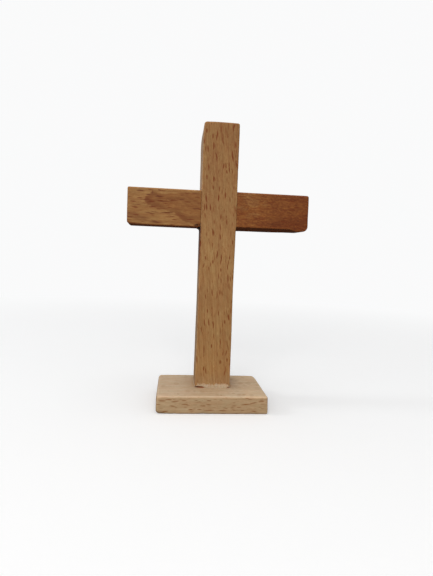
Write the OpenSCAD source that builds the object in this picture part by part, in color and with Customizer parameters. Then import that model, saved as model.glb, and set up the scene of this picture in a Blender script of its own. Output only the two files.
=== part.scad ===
// Small standing altar cross in beech: a square upright glued and screwed to a
// flat base plate, with a crossbar let into the back of the upright in a
// cross-lap joint, so the front face of the upright runs through unbroken.
//
// Millimetres. Origin at the centre of the base plate's underside, +Z up,
// the front of the cross faces -Y and +X is the viewer's right.

/* [Base plate] */
// Width of the base plate, left to right
base_width = 60.5; // [50:0.5:90]
// Depth of the base plate, front to back
base_depth = 44; // [40:0.5:70]
// Thickness of the base plate
base_thick = 9.7; // [8:0.1:16]
// Easing radius round the top edge of the base plate
base_top_r = 1.3; // [0.4:0.1:2]
// Easing radius round the bottom edge of the base plate
base_foot_r = 0.7; // [0.3:0.1:1.5]
// Corner radius of the base plate seen from above
base_corner_r = 1.6; // [0.5:0.1:4]

/* [Upright] */
// Side of the square stock the upright and the crossbar are cut from
stock = 20; // [16:0.5:22]
// Height of the whole cross above the table
total_height = 158.9; // [150:0.1:220]
// Easing radius along the upright's edges
post_r = 0.8; // [0.3:0.1:2]
// Distance the upright stands to the right of the base plate's centre
post_x = 1.1; // [-4:0.1:4]
// Distance the upright stands behind the base plate's centre
post_y = 4.4; // [0:0.1:6]

/* [Crossbar] */
// Length of the crossbar from end to end
bar_length = 102; // [80:0.5:130]
// Height of the crossbar's section
bar_height = 20.3; // [16:0.1:24]
// Height of the crossbar's underside above the table
bar_z = 100.8; // [85:0.1:120]
// Distance the crossbar's middle lies to the right of the upright's middle
bar_shift = 0.3; // [-3:0.1:3]
// Easing radius along the crossbar's edges
bar_r = 0.9; // [0.3:0.1:2]

/* [Glue] */
// Thickness of the glue film in the lap and under the foot
film = 0.1; // [0.05:0.05:0.3]
// Height of the squeezed-out bead at the front of the foot
bead_front = 2.2; // [0.8:0.1:3]
// Height of the thin bead on the other sides of the foot
bead_side = 0.6; // [0.3:0.1:1]
// Size of the bead in the corner under the left arm
bead_lap = 0.9; // [0.4:0.1:1.5]

/* [Foot screw] */
// Thread diameter of the countersunk wood screw
screw_d = 4; // [3.5:0.5:5]
// Length of the screw over the head
screw_length = 30; // [25:5:40]
// Depth of the head below the base plate's underside
screw_sink = 0.4; // [0.2:0.1:1]

/* [Hidden] */

curve_fn = 48;
overcut = 1; // how far a cutting shape runs past the face it opens

// upright: its four faces and the underside of its foot, on the glue film
post_left = post_x - stock / 2;
post_right = post_x + stock / 2;
post_front = post_y - stock / 2;
post_back = post_y + stock / 2;
foot_z = base_thick + film;

// crossbar: left end and top
bar_left = post_x + bar_shift - bar_length / 2;
bar_top = bar_z + bar_height;

// plane where the two halves of the lap meet, and the depth of each half
lap_y = post_y;
lap_depth = stock / 2;

// screw: radii
head_r = screw_d;
shank_r = 0.365 * screw_d;
core_r = 0.3 * screw_d;
thread_r = screw_d / 2;
crest_r = thread_r - 0.1;
point_r = 0.12;
hole_r = thread_r + 0.15; // clearance hole
well_r = head_r + 0.1; // well below the sunk head

// screw: heights
cone_height = head_r - shank_r;
head_rim = 0.15; // straight rim below the 45 degree cone
pitch = 0.5 * screw_d;
thread_z = base_thick + 1.5;
tip_length = 1.1 * screw_d;
tip_z = screw_sink + screw_length;
turns = floor((tip_z - tip_length - thread_z) / pitch);
point_z = thread_z + turns * pitch; // where the tapering point begins
bore_past_tip = 1;

// screw: cross recess
slot_length = 1.1 * head_r;
slot_width = 0.22 * head_r;
slot_depth = 0.4 * head_r;
slot_overcut = 0.5;

// a rectangle with its lower left corner at the origin and its own radius at the
// bottom pair and the top pair of corners
module eased_rect(width, height, r_low, r_high) {
    union() {
        translate([r_low, 0]) square([width - 2 * r_low, height / 2]);
        translate([0, r_low]) square([width, height - r_low - r_high]);
        translate([r_high, height / 2]) square([width - 2 * r_high, height / 2]);
        for (x = [r_low, width - r_low])
            translate([x, r_low]) circle(r = r_low, $fn = curve_fn);
        for (x = [r_high, width - r_high])
            translate([x, height - r_high]) circle(r = r_high, $fn = curve_fn);
    }
}

// a rectangle with square lower corners and eased upper corners
module capped_rect(width, height, radius) {
    union() {
        square([width, height - radius]);
        translate([radius, 0]) square([width - 2 * radius, height]);
        for (x = [radius, width - radius])
            translate([x, height - radius]) circle(r = radius, $fn = curve_fn);
    }
}

// the solid common to three outlines given as children: plan, front view, side view
module from_views(size) {
    intersection() {
        linear_extrude(size.z) children(0);
        translate([0, size.y, 0]) rotate([90, 0, 0]) linear_extrude(size.y) children(1);
        rotate([90, 0, 90]) linear_extrude(size.x) children(2);
    }
}

// a block with all its edges eased: plan radius, lower edge radius, upper edge radius
module eased_block(size, r_plan, r_low, r_high) {
    from_views(size) {
        eased_rect(size.x, size.y, r_plan, r_plan);
        eased_rect(size.x, size.z, r_low, r_high);
        eased_rect(size.y, size.z, r_low, r_high);
    }
}

// a square bar standing on a sawn end, eased along its length and round its top
module eased_post(size, radius) {
    from_views(size) {
        eased_rect(size.x, size.y, radius, radius);
        capped_rect(size.x, size.z, radius);
        capped_rect(size.y, size.z, radius);
    }
}

// concave bead of cured glue in a square corner, running along +X from the origin
// on the -Y side, its legs on the Y=0 wall and on the Z=0 floor
module bead(length, leg) {
    rotate([90, 0, 90]) linear_extrude(length) difference() {
        translate([-leg, 0]) square([leg, leg]);
        translate([-leg * 1.02, leg * 1.02]) circle(r = leg * 0.98, $fn = curve_fn);
    }
}

module base_plate() {
    color([0.78, 0.64, 0.46]) difference() {
        translate([-base_width / 2, -base_depth / 2, 0])
            eased_block([base_width, base_depth, base_thick],
                base_corner_r, base_foot_r, base_top_r);
        // clearance hole, countersink and the shallow well below the sunk head
        translate([post_x, post_y, 0]) {
            translate([0, 0, -overcut])
                cylinder(h = base_thick + 2 * overcut, r = hole_r, $fn = curve_fn);
            translate([0, 0, screw_sink])
                cylinder(h = cone_height, r1 = head_r, r2 = shank_r, $fn = curve_fn);
            translate([0, 0, -overcut])
                cylinder(h = screw_sink + overcut, r = well_r, $fn = curve_fn);
        }
    }
}

module upright_post() {
    color([0.66, 0.46, 0.27]) difference() {
        translate([post_left, post_front, foot_z])
            eased_post([stock, stock, total_height - foot_z], post_r);
        // half of the lap, open at the back
        translate([post_left - overcut, lap_y, bar_z - film])
            cube([stock + 2 * overcut, lap_depth + overcut, bar_height + 2 * film]);
        // bored for the foot screw, out to the nominal thread diameter
        translate([post_x, post_y, foot_z - overcut])
            cylinder(h = tip_z + bore_past_tip - foot_z + overcut, r = thread_r, $fn = curve_fn);
    }
}

module crossbar() {
    color([0.58, 0.37, 0.2]) difference() {
        translate([bar_left, post_front, bar_z])
            eased_block([bar_length, stock, bar_height], bar_r, bar_r, bar_r);
        // other half of the lap, open at the front
        translate([post_left - film, post_front - overcut, bar_z - overcut])
            cube([stock + 2 * film, lap_depth + overcut + film, bar_height + 2 * overcut]);
    }
}

// one turn of thread, as a ring with sloping flanks
module thread_ring(z) {
    translate([post_x, post_y, z]) rotate_extrude($fn = curve_fn) polygon([
        [0, 0],
        [core_r, 0],
        [crest_r, pitch * 0.42],
        [crest_r, pitch * 0.52],
        [core_r, pitch],
        [0, pitch]
    ]);
}

module foot_screw() {
    shank_end = thread_z - screw_sink;
    color([0.75, 0.75, 0.77]) difference() {
        union() {
            // head and plain shank
            translate([post_x, post_y, screw_sink]) rotate_extrude($fn = curve_fn) polygon([
                [0, 0],
                [head_r - head_rim, 0],
                [head_r - head_rim, head_rim],
                [shank_r, cone_height],
                [shank_r, shank_end],
                [0, shank_end]
            ]);
            for (i = [0 : turns - 1]) thread_ring(thread_z + i * pitch);
            translate([post_x, post_y, point_z])
                cylinder(h = tip_z - point_z, r1 = core_r, r2 = point_r, $fn = curve_fn);
        }
        // cross recess in the head: two slots and a tapered centre
        translate([post_x, post_y, screw_sink - slot_overcut])
            for (angle = [45, 135]) rotate([0, 0, angle])
                translate([-slot_length / 2, -slot_width / 2, 0])
                    cube([slot_length, slot_width, slot_overcut + slot_depth]);
        translate([post_x, post_y, screw_sink])
            cylinder(h = 0.5 * head_r, r1 = 0.26 * head_r, r2 = 0.08 * head_r, $fn = curve_fn);
    }
}

module foot_glue() {
    film_inset = 0.2;
    film_side = stock - 2 * film_inset;
    flat = stock - 2 * post_r; // width of a face between its eased edges
    spread = stock + 2 * bead_side;
    front_bead_x = post_left + 5.4;
    front_bead_length = 12.6;
    // start x, start y and turn about Z of the thin beads: front, back, left, right
    side_beads = [
        [post_left + post_r, post_front, 0],
        [post_right - post_r, post_back, 180],
        [post_left, post_back - post_r, -90],
        [post_right, post_front + post_r, 90]
    ];
    color([0.82, 0.71, 0.55]) difference() {
        union() {
            translate([post_left + film_inset, post_front + film_inset, base_thick])
                cube([film_side, film_side, film]);
            // the film runs out under the bead on each side
            translate([post_left + post_r, post_front - bead_side, base_thick])
                cube([flat, spread, film]);
            translate([post_left - bead_side, post_front + post_r, base_thick])
                cube([spread, flat, film]);
            // thick bead along the middle of the front
            translate([front_bead_x, post_front, base_thick])
                bead(front_bead_length, bead_front);
            for (side = side_beads)
                translate([side[0], side[1], base_thick]) rotate([0, 0, side[2]])
                    bead(flat, bead_side);
        }
        // hole for the screw
        translate([post_x, post_y, base_thick - overcut])
            cylinder(h = 3 * overcut, r = hole_r, $fn = curve_fn);
    }
}

module lap_glue() {
    inset = 0.9; // how far the films stop short of the eased edges
    bead_inset = inset + 0.2;
    color([0.42, 0.27, 0.15]) union() {
        // cheek of the lap
        translate([post_left, lap_y, bar_z]) cube([stock, film, bar_height]);
        // above and below the bar, in the upright's notch
        translate([post_left + inset, lap_y, bar_top])
            cube([stock - 2 * inset, lap_depth - inset, film]);
        translate([post_left, lap_y, bar_z - film])
            cube([stock - inset, lap_depth - inset, film]);
        // left and right of the upright, in the bar's notch
        for (x = [post_left - film, post_right])
            translate([x, post_front + inset, bar_z + inset])
                cube([film, lap_depth + film - inset, bar_height - 2 * inset]);
        // bead squeezed out under the left arm, in the corner against the upright
        translate([post_left, post_back - bead_inset, bar_z])
            rotate([0, 0, -90]) mirror([0, 0, 1]) bead(stock - 2 * bead_inset, bead_lap);
    }
}

base_plate();
upright_post();
crossbar();
foot_screw();
foot_glue();
lap_glue();
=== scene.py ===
# A small wooden cross on a base plate: an upright and a crossbar in a half lap, glued and held
# by a screw from below. X runs to the right, Y to the back and Z up. The front faces -Y.
# Sizes are in millimetres unless a name or comment says otherwise.
import itertools
import math
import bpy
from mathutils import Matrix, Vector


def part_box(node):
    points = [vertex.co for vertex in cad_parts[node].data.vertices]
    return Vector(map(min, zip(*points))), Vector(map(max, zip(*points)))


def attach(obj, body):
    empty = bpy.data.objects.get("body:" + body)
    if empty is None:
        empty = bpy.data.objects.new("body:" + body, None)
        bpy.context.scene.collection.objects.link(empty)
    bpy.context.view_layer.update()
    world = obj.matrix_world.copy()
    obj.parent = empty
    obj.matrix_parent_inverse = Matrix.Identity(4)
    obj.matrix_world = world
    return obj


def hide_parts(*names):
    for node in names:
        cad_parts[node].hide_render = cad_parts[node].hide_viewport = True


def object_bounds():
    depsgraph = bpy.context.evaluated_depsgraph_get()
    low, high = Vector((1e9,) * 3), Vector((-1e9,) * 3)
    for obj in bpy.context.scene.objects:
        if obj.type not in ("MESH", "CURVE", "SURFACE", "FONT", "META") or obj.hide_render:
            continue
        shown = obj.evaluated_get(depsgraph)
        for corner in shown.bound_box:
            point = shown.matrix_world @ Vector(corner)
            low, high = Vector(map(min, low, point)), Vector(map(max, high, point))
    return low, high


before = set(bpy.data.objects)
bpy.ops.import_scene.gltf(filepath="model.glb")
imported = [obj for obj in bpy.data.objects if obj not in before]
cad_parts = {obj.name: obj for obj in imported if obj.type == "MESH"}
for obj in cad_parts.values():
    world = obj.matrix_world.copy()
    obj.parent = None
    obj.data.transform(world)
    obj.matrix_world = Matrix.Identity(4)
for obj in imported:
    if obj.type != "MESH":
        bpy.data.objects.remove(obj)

from types import SimpleNamespace

import bmesh
import bpy
import numpy as np
from mathutils import Matrix, Vector

MM = 0.001
CAD_LO, CAD_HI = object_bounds()
scene = bpy.context.scene


# ---------------------------------------------------------------- places, from the frame


def piece_box(node):
    """The box round a piece, by its corners and by the places of its sides."""
    low, high = (np.array(corner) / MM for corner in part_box(node))
    return SimpleNamespace(
        low=low, high=high, left=low[0], front=low[1], bottom=low[2],
        right=high[0], back=high[1], top=high[2],
    )


BASE = piece_box("base_plate")
POST = piece_box("upright_post")
BAR = piece_box("crossbar")
SCREW = piece_box("foot_screw")
FOOT_GLUE = piece_box("foot_glue")
LAP_GLUE = piece_box("lap_glue")
FILM = POST.bottom - BASE.top  # thickness of the glue film
LAP_Y = (POST.front + POST.back) / 2  # plane where the two halves of the lap meet
SCREW_X, SCREW_Y, _ = (SCREW.low + SCREW.high) / 2


# ---------------------------------------------------------------- noise


def lattice_hash(ix, iy, iz, seed):
    """A scrambled number in -1..1 for each whole-numbered point."""
    bits = (ix * 374761393 + iy * 668265263 + iz * 2147483647 + seed * 1274126177) & 0xFFFFFFFF
    bits = ((bits ^ (bits >> 13)) * 1274126177) & 0xFFFFFFFF
    bits = ((bits ^ (bits >> 16)) * 2246822519) & 0xFFFFFFFF
    return ((bits ^ (bits >> 15)) & 0xFFFFFF).astype(float) / 0xFFFFFF * 2 - 1


def value_noise(points, scale, seed):
    """Smooth value noise in -1..1, one cell per scale millimetres."""
    scaled = np.asarray(points, float) / np.asarray(scale, float)
    cell = np.floor(scaled).astype(np.int64)
    part = scaled - cell
    weight = part * part * part * (part * (part * 6 - 15) + 10)
    out = np.zeros(len(scaled))
    for corner in itertools.product((0, 1), repeat=3):
        share = np.where(corner, weight, 1 - weight)
        hashed = lattice_hash(*(cell + np.array(corner)).T, seed)
        out += share[:, 0] * share[:, 1] * share[:, 2] * hashed
    return out


def fractal_noise(points, scale, seed, octaves=3):
    """Value noise in octaves, each half as large and half as strong as the one before."""
    out, strength, total = np.zeros(len(points)), 1.0, 0.0
    scale = np.asarray(scale, float)
    for octave in range(octaves):
        out += strength * value_noise(points, scale / 2**octave, seed + 17 * octave)
        total += strength
        strength *= 0.5
    return out / total


def smoothstep(start, stop, value):
    share = np.clip((value - start) / (stop - start), 0, 1)
    return share * share * (3 - 2 * share)


# ---------------------------------------------------------------- meshes


def grid_lines(start, stop, step, edges, edge_step, cuts=()):
    """Grid lines from start to stop: edge_step apart in the two edges, about step apart
    between them, with a line at every cut."""
    inner_start, inner_stop = start + edges[0], stop - edges[1]
    marks = [start, inner_start]
    marks += [c for c in sorted(cuts) if inner_start + 0.05 < c < inner_stop - 0.05]
    marks += [inner_stop, stop]
    lines = [start]
    for k, (a, b) in enumerate(zip(marks[:-1], marks[1:])):
        spacing = edge_step if k in (0, len(marks) - 2) else step
        count = max(1, int(round((b - a) / spacing)))
        lines += list(a + (b - a) * np.arange(1, count + 1) / count)
    return np.array(lines)


def block_mesh(xs, ys, zs, notch=None):
    """Vertices and quads round the filled cells of a grid; notch tells which cells are empty."""
    nx, ny, nz = len(xs) - 1, len(ys) - 1, len(zs) - 1
    filled = np.zeros((nx + 2, ny + 2, nz + 2), bool)
    filled[1:-1, 1:-1, 1:-1] = True
    if notch:
        centres = [(lines[1:] + lines[:-1]) / 2 for lines in (xs, ys, zs)]
        filled[1:-1, 1:-1, 1:-1] = ~notch(*np.meshgrid(*centres, indexing="ij"))
    quads = []
    for axis in range(3):
        for side in (0, 1):
            beside = [slice(1, -1)] * 3
            beside[axis] = slice(2, None) if side else slice(0, -2)
            cells = list(np.nonzero(filled[1:-1, 1:-1, 1:-1] & ~filled[tuple(beside)]))
            cells[axis] = cells[axis] + side
            corners = []
            for du, dv in ((0, 0), (1, 0), (1, 1), (0, 1)):
                i, j, k = [
                    c + {(axis + 1) % 3: du, (axis + 2) % 3: dv}.get(a, 0)
                    for a, c in enumerate(cells)
                ]
                corners.append((i * (ny + 1) + j) * (nz + 1) + k)
            quad = np.stack(corners, 1)
            quads.append(quad if side else quad[:, ::-1])
    quads = np.concatenate(quads)
    used, inverse = np.unique(quads, return_inverse=True)
    quads = inverse.reshape(quads.shape)
    i, rest = np.divmod(used, (ny + 1) * (nz + 1))
    j, k = np.divmod(rest, nz + 1)
    return np.stack([xs[i], ys[j], zs[k]], 1), quads


def round_edges(points, box, radius, square_bottom=False):
    """Rounds the edges of a block by radius(points). Also returns how far round an edge each
    point lies, from 0 on a flat to 1 on the middle of an edge."""
    around = radius(points)[:, None]
    inner_low = box.low + around
    if square_bottom:
        inner_low[:, 2] = -np.inf
    core = np.minimum(np.maximum(points, inner_low), box.high - around)
    away = points - core
    largest = np.abs(away).max(1)
    length = np.linalg.norm(away, axis=1)
    shrink = np.where(length > 1e-9, largest / np.maximum(length, 1e-9), 0)
    share = np.sort(np.abs(away) / around, axis=1)
    edge = np.clip(share[:, 1] / np.maximum(share[:, 2], 1e-6), 0, 1) * (share[:, 2] > 0.98)
    return core + away * shrink[:, None], edge


def soften(radius, points, *corners):
    """Adds to the edge radius around corners given as (amount, centre, spread per axis)."""
    for amount, centre, spread in corners:
        away = (points - np.array(centre)) / np.array(spread)
        radius += amount * np.exp(-0.5 * (away**2).sum(1))
    return radius


def make_object(name, points, faces, smooth=True):
    """Adds an object to the scene. Faces are an array of quads or a list of index tuples."""
    mesh = bpy.data.meshes.new(name)
    places = np.asarray(points, np.float64) * MM
    if isinstance(faces, np.ndarray):
        count, sides = faces.shape
        mesh.vertices.add(len(places))
        mesh.vertices.foreach_set("co", places.astype(np.float32).ravel())
        mesh.loops.add(count * sides)
        mesh.loops.foreach_set("vertex_index", faces.astype(np.int32).ravel())
        mesh.polygons.add(count)
        starts = np.arange(0, count * sides, sides, dtype=np.int32)
        mesh.polygons.foreach_set("loop_start", starts)
        mesh.update(calc_edges=True)
        mesh.validate()
    else:
        mesh.from_pydata(places.tolist(), [], faces)
    mesh.polygons.foreach_set("use_smooth", np.full(len(mesh.polygons), smooth))
    mesh.update()
    obj = bpy.data.objects.new(name, mesh)
    scene.collection.objects.link(obj)
    return obj


def read_vertices(obj, field):
    values = np.zeros(len(obj.data.vertices) * 3, np.float32)
    obj.data.vertices.foreach_get(field, values)
    return values.reshape(-1, 3).astype(float)


def get_points(obj):
    return read_vertices(obj, "co") / MM


def set_points(obj, points):
    obj.data.vertices.foreach_set("co", (points * MM).astype(np.float32).ravel())
    obj.data.update()


def add_attribute(obj, name, values):
    field = obj.data.attributes.new(name, "FLOAT", "POINT")
    field.data.foreach_set("value", np.asarray(values, np.float32))


def cut(obj, cutter):
    """Cuts a shape out of obj with the exact boolean, and removes the cutter."""
    modifier = obj.modifiers.new("cut", "BOOLEAN")
    modifier.operation = "DIFFERENCE"
    modifier.solver = "EXACT"
    modifier.object = cutter
    depsgraph = bpy.context.evaluated_depsgraph_get()
    mesh = bpy.data.meshes.new_from_object(obj.evaluated_get(depsgraph), depsgraph=depsgraph)
    obj.modifiers.clear()
    old = obj.data
    obj.data = mesh
    mesh.name = old.name
    bpy.data.meshes.remove(old)
    bpy.data.objects.remove(cutter)


def wall_strip(first, rings, count, k):
    """The quads between points k and k + 1 of stacked rings of count points."""
    after = (k + 1) % count
    starts = [first + ring * count for ring in range(rings)]
    return [(a + k, a + after, b + after, b + k) for a, b in zip(starts, starts[1:])]


def ring_angles(count):
    return 2 * np.pi * np.arange(count) / count


def revolve(name, profile, count=64):
    """A solid turned about the screw's axis from (radius, z) points that start and end on it."""
    rings = profile[1:-1]
    points = [(SCREW_X, SCREW_Y, profile[0][1]), (SCREW_X, SCREW_Y, profile[-1][1])]
    for radius, z in rings:
        for a in ring_angles(count):
            points.append((SCREW_X + radius * np.cos(a), SCREW_Y + radius * np.sin(a), z))
    faces = []
    top = 2 + (len(rings) - 1) * count
    for k in range(count):
        after = (k + 1) % count
        faces += [(0, 2 + after, 2 + k), (1, top + k, top + after)]
        faces += wall_strip(2, len(rings), count, k)
    return make_object(name, points, faces)


def sleeve(sections, count, first=0, closed=False, flip=False):
    """Quads joining a row of closed sections of count points each."""
    faces = []
    for i in range(sections if closed else sections - 1):
        near = first + i * count
        far = first + (i + 1) % sections * count
        for a in range(count):
            b = (a + 1) % count
            face = (near + a, near + b, far + b, far + a)
            faces.append(face[:1] + face[:0:-1] if flip else face)
    return faces


# ---------------------------------------------------------------- worn wood surfaces


def add_relief(obj, grain_axis, seed, wave=0.035, fibre=0.012):
    """Hand-sanded surface: shallow waves and a faint relief along the grain."""
    points, normals = get_points(obj), read_vertices(obj, "normal")
    fibre_scale = np.array([0.9, 0.9, 0.9])
    fibre_scale[grain_axis] = 11.0
    height = wave * fractal_noise(points, (14, 14, 14), seed, 2)
    height = height + fibre * fractal_noise(points, fibre_scale, seed + 5, 2)
    set_points(obj, points + normals * height[:, None])


def add_dents(obj, dents):
    """Pushes the surface in at dents given as (centre, radius, depth, stretch per axis)."""
    points, normals = get_points(obj), read_vertices(obj, "normal")
    for centre, radius, depth, stretch in dents:
        away = (points - np.array(centre)) / (radius * np.array(stretch))
        share = np.clip(1 - (away**2).sum(1), 0, 1) ** 2
        points = points - normals * (share * depth)[:, None]
    set_points(obj, points)


KNOCK_RADIUS = (0.5, 1.2)
KNOCK_DEPTH = (0.08, 0.25)


def edge_knocks(box, axis, count, seed):
    """Random small dents along the four edges that run along one axis."""
    rng = np.random.default_rng(seed)
    sides = (box.low, box.high)
    dents = []
    for _ in range(count):
        centre = np.zeros(3)
        centre[axis] = rng.uniform(box.low[axis] + 2, box.high[axis] - 2)
        for across in range(3):
            if across != axis:
                centre[across] = sides[rng.integers(2)][across]
        stretch = np.ones(3)
        stretch[axis] = rng.uniform(1.2, 3.0)
        dents.append((centre, rng.uniform(*KNOCK_RADIUS), rng.uniform(*KNOCK_DEPTH), stretch))
    return dents


# ---------------------------------------------------------------- the upright

POST_NOTCH_LOW, POST_NOTCH_HIGH = BAR.bottom - FILM, BAR.top + FILM
POST_EDGE = 1.6  # largest edge radius
BORE_RADIUS = 2.0


def post_radius(points):
    radius = 0.72 + 0.16 * fractal_noise(points, (9, 9, 9), 3)
    soften(
        radius, points,
        (0.75, (POST.left, POST.front, POST.top), (3, 3, 4)),
        (0.35, (POST.right, POST.front, POST.top), (3, 3, 3)),
    )
    # the two front faces were sanded flush with each other where the pieces cross
    z = points[:, 2]
    above = smoothstep(POST_NOTCH_LOW - 1.5, POST_NOTCH_LOW + 0.5, z)
    below = smoothstep(POST_NOTCH_HIGH + 1.5, POST_NOTCH_HIGH - 0.5, z)
    radius *= 1 - 0.62 * above * below
    return np.clip(radius, 0.25, POST_EDGE)


def bend_post(points):
    """Hand-made faults of the sides and the foot. Changes the points in place."""
    x, y, z = points.T

    def hill(height, spread):
        return np.exp(-0.5 * ((z - height) / spread) ** 2)

    # the left side is sanded in towards the top, more at the back than at the front
    up = np.exp(-(POST.top - z) / 2.4) * smoothstep(POST.top - 15, POST.top - 6, z)
    left = np.clip(1 - (x - POST.left) / 6.5, 0, 1) ** 1.5
    back = (y - POST.front) / (POST.back - POST.front)
    x += up * left * (0.4 + 1.2 * back)
    # neither side is quite straight
    wave = 0.15 * hill(95, 14) + 0.22 * hill(58, 16) - 0.34 * hill(150, 7) - 0.2 * hill(132, 9)
    x += left * (0.3 + 0.7 * back) * wave
    right = np.clip(1 - (POST.right - x) / 6.5, 0, 1) ** 1.5
    x -= right * 0.25 * hill(66, 14)
    # the foot stands off the base at the two front corners, most at the left one
    gap_left = np.clip(1 - (x - POST.left) / 6.2, 0, 1)
    gap_left = gap_left * np.clip(1 - (y - POST.front) / 7, 0, 1)
    gap_right = np.clip((x - (POST.right - 2.2)) / 2.2, 0, 1)
    gap_right = gap_right * np.clip(1 - (y - POST.front) / 5, 0, 1)
    low = np.clip(1 - (z - POST.bottom) / 2.4, 0, 1)
    z += low * (0.66 * gap_left + 0.42 * gap_right)


def build_post():
    side_grid = dict(step=0.42, edges=(POST_EDGE, POST_EDGE), edge_step=0.16)
    xs = grid_lines(POST.left, POST.right, **side_grid)
    ys = grid_lines(POST.front, POST.back, **side_grid, cuts=[LAP_Y])
    zs = grid_lines(
        POST.bottom, POST.top, step=0.55, edges=(2.4, POST_EDGE), edge_step=0.2,
        cuts=[POST_NOTCH_LOW, POST_NOTCH_HIGH],
    )

    def notch(x, y, z):
        return (y > LAP_Y) & (z > POST_NOTCH_LOW) & (z < POST_NOTCH_HIGH)

    block, quads = block_mesh(xs, ys, zs, notch)
    points, edge = round_edges(block, POST, post_radius, square_bottom=True)
    bend_post(points)
    obj = make_object("upright_post_wood", points, quads)
    add_attribute(obj, "edge", edge)
    add_relief(obj, grain_axis=2, seed=11)
    front_dents = [
        ((POST.right, POST.front, POST.top - 26), 1.1, 0.22, (1, 1, 2.2)),
        ((POST.left, POST.front, POST.bottom + 47), 0.9, 0.18, (1, 1, 2.0)),
    ]
    add_dents(obj, edge_knocks(POST, axis=2, count=14, seed=21) + front_dents)
    bore = [
        (0, POST.bottom - 3), (BORE_RADIUS, POST.bottom - 3), (BORE_RADIUS, SCREW.top + 1.0),
        (1.1, SCREW.top + 2.0), (0, SCREW.top + 2.3),
    ]
    cut(obj, revolve("bore", bore))
    return obj


# ---------------------------------------------------------------- the crossbar

BAR_NOTCH_LEFT, BAR_NOTCH_RIGHT = POST.left - FILM, POST.right + FILM
BAR_NOTCH_BACK = LAP_Y + FILM
BAR_EDGE = 2.6  # largest edge radius
BAR_END_RADIUS = 3.0  # lower edge of the right end

# the outline of the red heart on the front of the crossbar, as (x, z)
HEART = [
    (-15.3, 103.0), (-17.4, 103.5), (-19.6, 104.8), (-21.4, 106.1), (-22.5, 107.2),
    (-23.6, 108.3), (-26.0, 108.6), (-28.8, 109.1), (-32.9, 110.0), (-35.8, 110.9),
    (-38.2, 112.1), (-39.6, 113.1), (-40.1, 114.3), (-40.0, 115.6), (-39.2, 116.6),
    (-38.0, 117.3), (-37.0, 118.2), (-36.0, 119.3), (-34.4, 119.4), (-33.0, 118.4),
    (-31.0, 117.5), (-29.0, 117.6), (-26.3, 118.4), (-22.8, 118.9), (-16.0, 119.2),
    (-6.0, 120.4), (0.0, 124.0), (70.0, 132.0), (70.0, 90.0), (-8.0, 94.0), (-12.5, 101.0),
]

# soft spots in the crossbar's colour: amount, centre x, centre z, spread in x, spread in z
RIM_SPOTS = [  # where the edge of the heart is dark
    (1, -38.6, 114.4, 2.4, 2.6), (0.85, -34.5, 111.4, 3.0, 1.4), (0.9, -21.0, 106.2, 2.4, 1.9),
    (0.8, -17.0, 103.6, 2.4, 1.3), (0.6, -35.4, 118.6, 1.6, 1.6), (0.4, -29.0, 110.0, 3.0, 1.2),
]
STAIN_SPOTS = [  # along the lower edge of the left arm
    (1, -47.5, 106.0, 3.2, 1.5), (0.9, -41.5, 104.0, 3.4, 1.1), (0.8, -33.5, 102.4, 3.6, 0.8),
]
SHADE_SPOTS = [  # the right arm: darker spots, then paler ones with negative amounts
    (0.75, 39, 104.5, 6.5, 1.9), (0.6, 48, 103.4, 5, 2.6), (0.55, 46, 119.4, 6, 1.5),
    (0.5, 52, 108, 2, 3), (0.35, 44, 112.5, 3.5, 0.8), (0.45, 11.2, 108.4, 2.2, 1.4),
    (0.35, 12.5, 117.2, 2.0, 0.8), (0.3, 30, 103, 5, 1),
    (-0.5, 17.3, 118.4, 4.5, 2.2), (-0.45, 21, 115.0, 2.6, 1.8), (-0.45, 27.4, 115.8, 1.5, 2.2),
    (-0.5, 18.2, 108.3, 3.0, 0.9), (-0.4, 23.4, 109.2, 2.6, 0.8), (-0.4, 14, 112, 2.6, 1.2),
    (-0.35, 29.6, 111.4, 2.2, 0.9),
]


def inside_distance(points, outline):
    """Distance from (x, z) points to the edge of an outline, positive inside."""
    starts = np.array(outline, float)
    nearest = np.full(len(points), 1e9)
    inside = np.zeros(len(points), bool)
    for (ax, az), (bx, bz) in zip(starts, np.roll(starts, -1, axis=0)):
        side = np.array([bx - ax, bz - az])
        offset = points - np.array([ax, az])
        share = np.clip((offset @ side) / (side @ side), 0, 1)
        distance = np.linalg.norm(offset - share[:, None] * side, axis=1)
        nearest = np.minimum(nearest, distance)
        if az != bz:
            crosses = (az > points[:, 1]) != (bz > points[:, 1])
            inside ^= crosses & (points[:, 0] < (bx - ax) * (points[:, 1] - az) / (bz - az) + ax)
    return np.where(inside, nearest, -nearest)


def sum_spots(x, z, spots):
    return sum(
        amount * np.exp(-0.5 * (((x - cx) / sx) ** 2 + ((z - cz) / sz) ** 2))
        for amount, cx, cz, sx, sz in spots
    )


def add_heart_fields(obj):
    """Colour fields of the crossbar, laid out on its front and leaning back into the wood."""
    points = get_points(obj)
    back = points[:, 1] - BAR.front
    x = points[:, 0] - 0.32 * back
    z = points[:, 2] + 0.1 * back
    add_attribute(obj, "heart", inside_distance(np.stack([x, z], 1), HEART))
    add_attribute(obj, "rim", np.clip(sum_spots(x, z, RIM_SPOTS), 0.12, 1))
    add_attribute(obj, "stain", np.clip(sum_spots(x, z, STAIN_SPOTS), 0, 1))
    add_attribute(obj, "shade", sum_spots(x, z, SHADE_SPOTS))


def bar_radius(points):
    _, y, z = points.T
    radius = 0.8 + 0.16 * fractal_noise(points, (8, 8, 8), 31)
    low = smoothstep(BAR.bottom + 7, BAR.bottom + 2, z)
    radius -= 0.3 * (low * smoothstep(BAR.front + 6, BAR.front + 2, y))
    soften(
        radius, points,
        (1.3, (BAR.left, BAR.front, BAR.bottom), (3, 5, 3)),
        (0.3, (BAR.right, BAR.front, BAR.top), (2, 3, 2)),
    )
    return np.clip(radius, 0.4, BAR_EDGE)


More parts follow.
